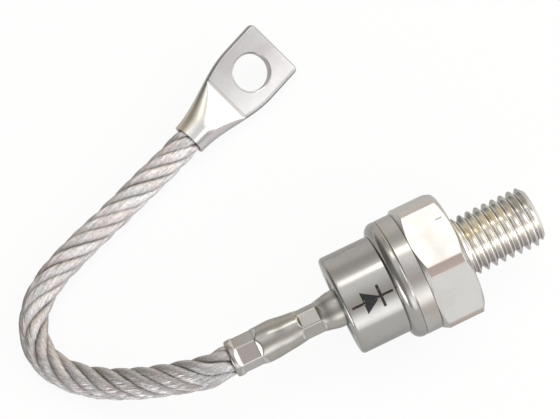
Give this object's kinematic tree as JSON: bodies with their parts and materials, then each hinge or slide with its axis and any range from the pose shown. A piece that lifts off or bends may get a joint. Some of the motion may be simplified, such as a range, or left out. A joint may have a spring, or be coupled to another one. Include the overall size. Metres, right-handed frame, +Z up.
{
  "type": "rectifier diode",
  "caption": "Stud-mounted rectifier diode with a hexagon base, a round metal cap, a crimped terminal and a stranded lead that ends in a ring lug.",
  "frame": {"origin": "on the stud axis, in the plane of the hexagon's seat face", "axes": "+X along the stud, away from the cap; +Z up from the surface, square to the hexagon flat that the diode lies on"},
  "size_m": [0.1013, 0.0809, 0.024],
  "materials": {
    "nickel_plate": "satin nickel plate",
    "plated_steel": "satin nickel plate on drawn steel",
    "seal_glass": "dark fused glass",
    "molybdenum": "lapped",
    "silicon": "etched wafer",
    "coating": "cured silicone",
    "copper": "bare copper",
    "tinned_copper": "tinned strands",
    "tinned_lug": "bright tin plate"
  },
  "bodies": {
    "root": {"stud_base": "nickel_plate", "weld_ring": "plated_steel", "cap": "plated_steel", "glass_seal": "seal_glass", "terminal_tube": "nickel_plate", "lower_disc": "molybdenum", "silicon_die": "silicon", "edge_coating": "coating", "upper_disc": "molybdenum", "contact_cup": "copper", "inner_lead": "copper", "cable": "tinned_copper", "lug": "tinned_lug"}
  },
  "joints": []
}
